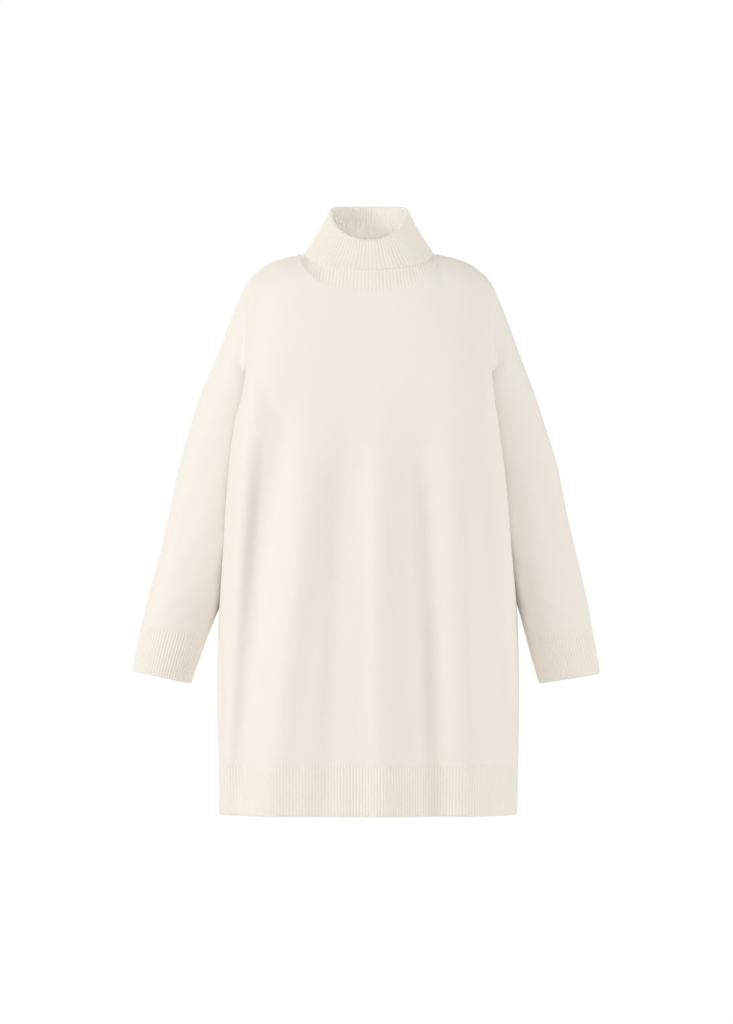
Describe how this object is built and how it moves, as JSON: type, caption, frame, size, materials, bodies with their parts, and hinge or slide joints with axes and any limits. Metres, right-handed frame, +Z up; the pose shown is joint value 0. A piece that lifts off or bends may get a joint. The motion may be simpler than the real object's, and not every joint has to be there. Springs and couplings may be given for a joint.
{
  "type": "sweater dress",
  "caption": "Oversized cream roll-neck sweater dress, hollow and filled out as worn, with drop shoulders, long sleeves and ribbed neck, cuffs and hem.",
  "frame": {"origin": "middle of the neck at the height of the shoulder's high point, where the wearer's neck and shoulders hold the dress", "axes": "+Z up; the front faces -Y; +X is the wearer's left"},
  "size_m": [0.7471, 0.2778, 0.9736],
  "materials": {
    "brushed_knit": "matt brushed plain knit in cream wool",
    "rib_knit": "matt ribbed knit in the same cream wool"
  },
  "bodies": {
    "root": {"front_panel": "brushed_knit", "back_panel": "brushed_knit", "left_sleeve": "brushed_knit", "right_sleeve": "brushed_knit", "front_hem_rib": "rib_knit", "back_hem_rib": "rib_knit", "left_cuff_rib": "rib_knit", "right_cuff_rib": "rib_knit", "neck_yoke_rib": "rib_knit", "collar": "rib_knit"}
  },
  "joints": []
}
